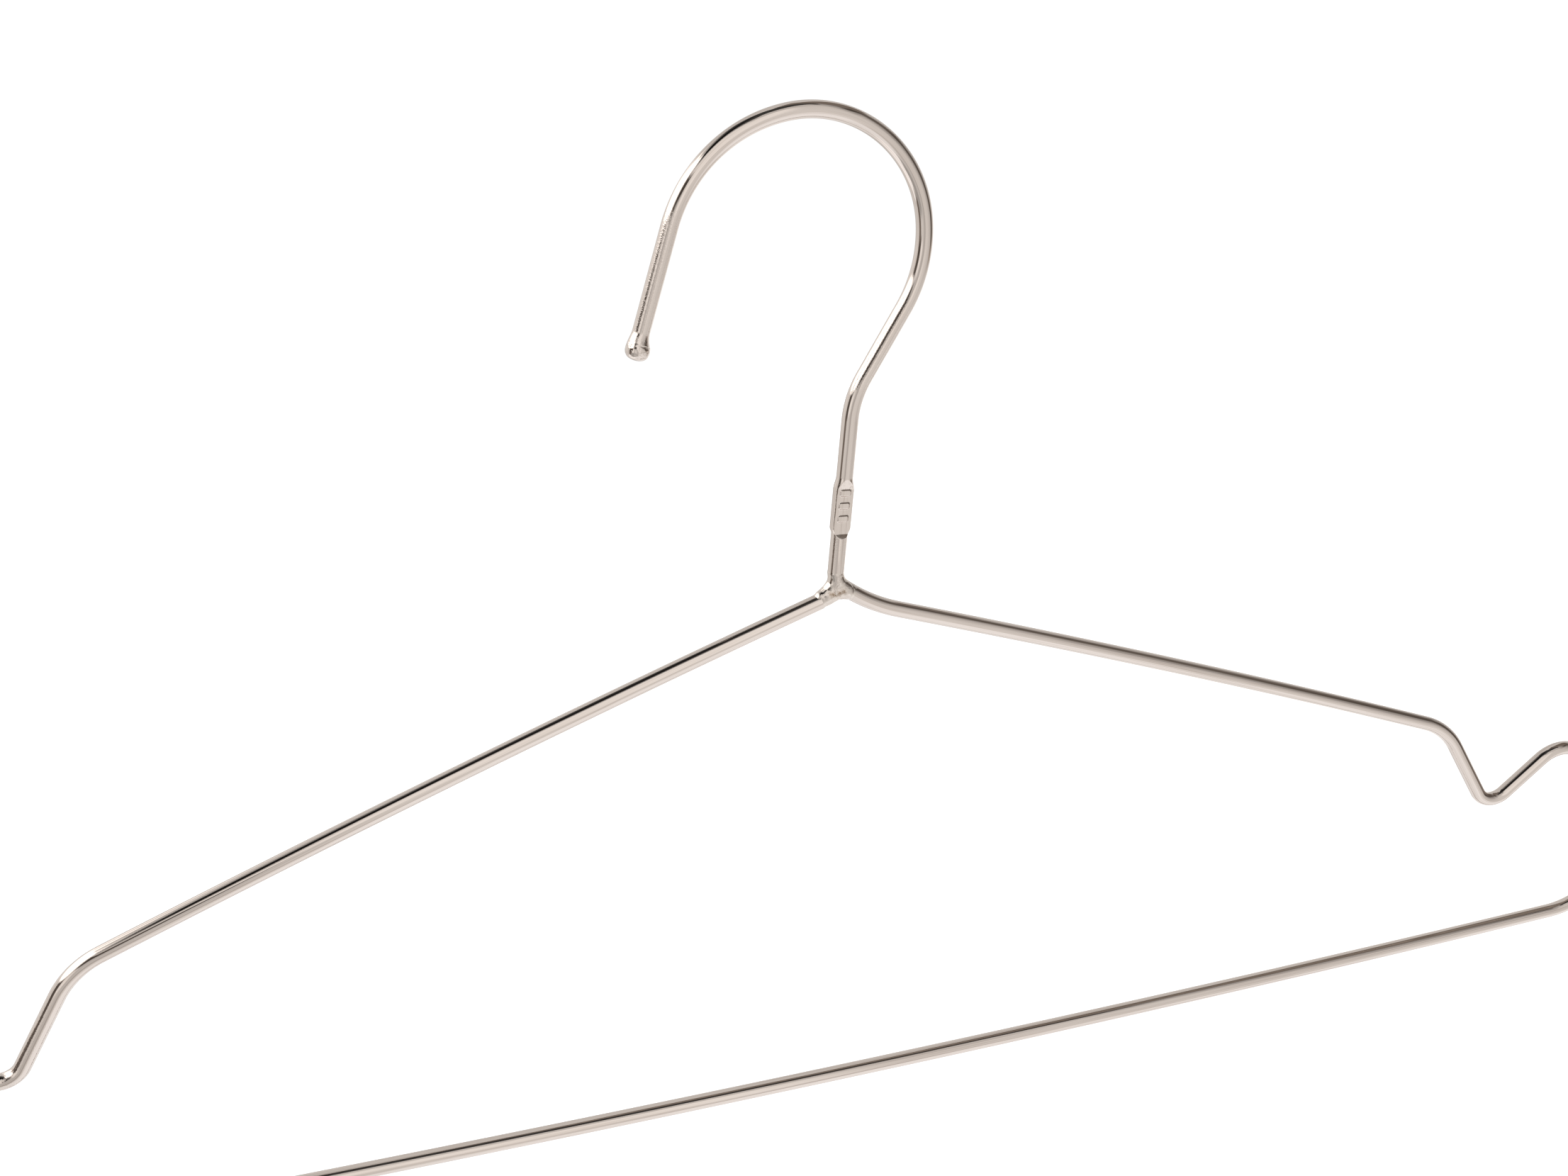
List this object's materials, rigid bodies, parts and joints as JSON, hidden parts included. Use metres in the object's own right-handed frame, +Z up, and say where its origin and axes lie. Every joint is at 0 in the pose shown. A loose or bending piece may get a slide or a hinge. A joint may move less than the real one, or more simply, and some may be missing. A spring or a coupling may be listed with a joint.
{
  "type": "metal clothes hanger",
  "caption": "Clothes hanger bent from round steel wire, with a ball-ended hook, a pressed flat on the neck, a welded neck joint, strap notches, wide round ends and a trouser bar.",
  "frame": {"origin": "the point where a rail touches the inside of the hook's crown", "axes": "+X along the trouser bar towards the side where the neck turns into the shoulder, +Z up as the hanger hangs, Y square to the wire's plane, with the ball of the hook at -X"},
  "size_m": [0.4494, 0.0048, 0.2248],
  "materials": {
    "wire_steel": "bright drawn stainless steel wire",
    "weld_steel": "polished weld, slightly mottled"
  },
  "bodies": {
    "root": {"ball_tip": "wire_steel", "hook": "wire_steel", "neck": "wire_steel", "neck_weld": "weld_steel", "right_shoulder": "wire_steel", "right_shoulder_slope": "wire_steel", "right_strap_notch": "wire_steel", "right_shoulder_end": "wire_steel", "bar_right_run": "wire_steel", "trouser_bar": "wire_steel", "bar_left_run": "wire_steel", "left_shoulder_end": "wire_steel", "left_strap_notch": "wire_steel", "left_shoulder_slope": "wire_steel", "left_shoulder": "wire_steel"}
  },
  "joints": []
}
